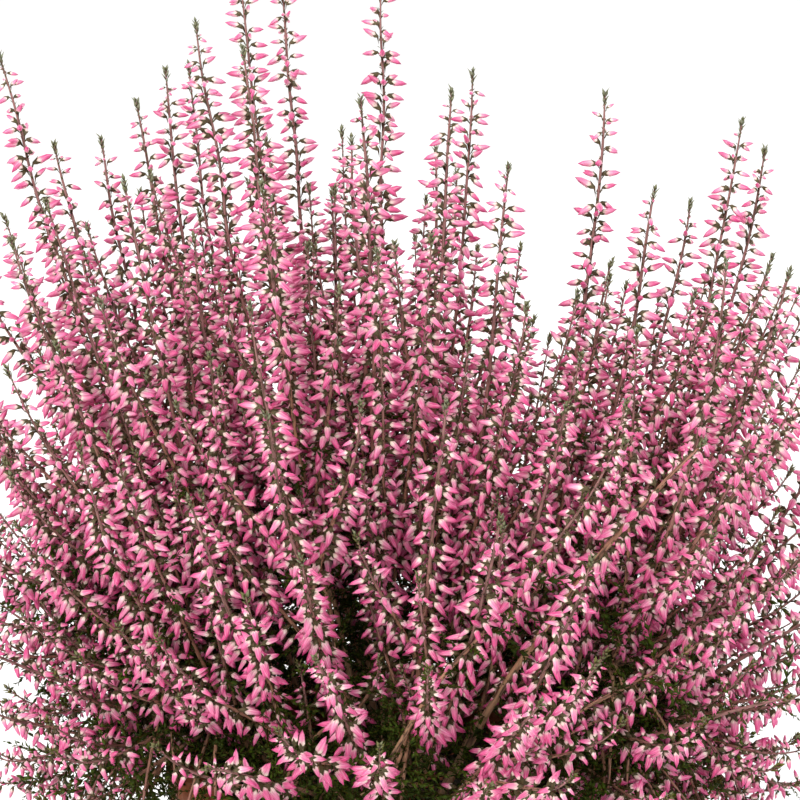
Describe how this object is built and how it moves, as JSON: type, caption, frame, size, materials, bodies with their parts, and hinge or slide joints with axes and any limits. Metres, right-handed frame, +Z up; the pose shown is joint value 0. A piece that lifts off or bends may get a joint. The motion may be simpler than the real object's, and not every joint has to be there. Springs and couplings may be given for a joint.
{
  "type": "potted heather",
  "caption": "Bud-blooming heather: a dense fan of upright stems set with pink and cream closed buds, planted in a plain clay pot.",
  "frame": {"origin": "middle of the pot's flat foot, on the pot's axis", "axes": "+Z up along the pot's axis, the front of the plant towards -Y, +X to the right seen from the front"},
  "size_m": [0.251, 0.2129, 0.3314],
  "materials": {
    "terracotta": "matte",
    "potting_soil": "matte",
    "flower_buds": "satin",
    "heather_leaves": "matte",
    "woody_stems": "matte"
  },
  "bodies": {
    "root": {"back_flowering_stem_01": "flower_buds", "back_flowering_stem_02": "flower_buds", "back_flowering_stem_03": "flower_buds", "back_flowering_stem_04": "flower_buds", "back_flowering_stem_05": "flower_buds", "back_flowering_stem_06": "flower_buds", "back_flowering_stem_07": "flower_buds", "back_flowering_stem_08": "flower_buds", "back_flowering_stem_09": "flower_buds", "back_flowering_stem_10": "flower_buds", "centre_flowering_stem_01": "flower_buds", "centre_flowering_stem_02": "flower_buds", "centre_flowering_stem_03": "flower_buds", "centre_flowering_stem_04": "flower_buds", "centre_flowering_stem_05": "flower_buds", "centre_flowering_stem_06": "flower_buds", "centre_flowering_stem_07": "flower_buds", "centre_flowering_stem_08": "flower_buds", "centre_flowering_stem_09": "flower_buds", "centre_flowering_stem_10": "flower_buds", "centre_flowering_stem_11": "flower_buds", "centre_flowering_stem_12": "flower_buds", "clay_pot": "terracotta", "front_flowering_stem_01": "flower_buds", "front_flowering_stem_02": "flower_buds", "front_flowering_stem_03": "flower_buds", "front_flowering_stem_04": "flower_buds", "front_flowering_stem_05": "flower_buds", "front_flowering_stem_06": "flower_buds", "front_flowering_stem_07": "flower_buds", "front_flowering_stem_08": "flower_buds", "front_flowering_stem_09": "flower_buds", "front_flowering_stem_10": "flower_buds", "front_flowering_stem_11": "flower_buds", "leafy_shoot_01": "heather_leaves", "leafy_shoot_02": "heather_leaves", "left_flowering_stem_01": "flower_buds", "left_flowering_stem_02": "flower_buds", "left_flowering_stem_03": "flower_buds", "left_flowering_stem_04": "flower_buds", "left_flowering_stem_05": "flower_buds", "left_flowering_stem_06": "flower_buds", "left_flowering_stem_07": "flower_buds", "left_flowering_stem_08": "flower_buds", "left_flowering_stem_09": "flower_buds", "left_flowering_stem_10": "flower_buds", "left_flowering_stem_11": "flower_buds", "left_flowering_stem_12": "flower_buds", "left_flowering_stem_13": "flower_buds", "left_flowering_stem_14": "flower_buds", "potting_soil": "potting_soil", "right_flowering_stem_01": "flower_buds", "right_flowering_stem_02": "flower_buds", "right_flowering_stem_03": "flower_buds", "right_flowering_stem_04": "flower_buds", "right_flowering_stem_05": "flower_buds", "right_flowering_stem_06": "flower_buds", "right_flowering_stem_07": "flower_buds", "right_flowering_stem_08": "flower_buds", "right_flowering_stem_09": "flower_buds"}
  },
  "joints": []
}
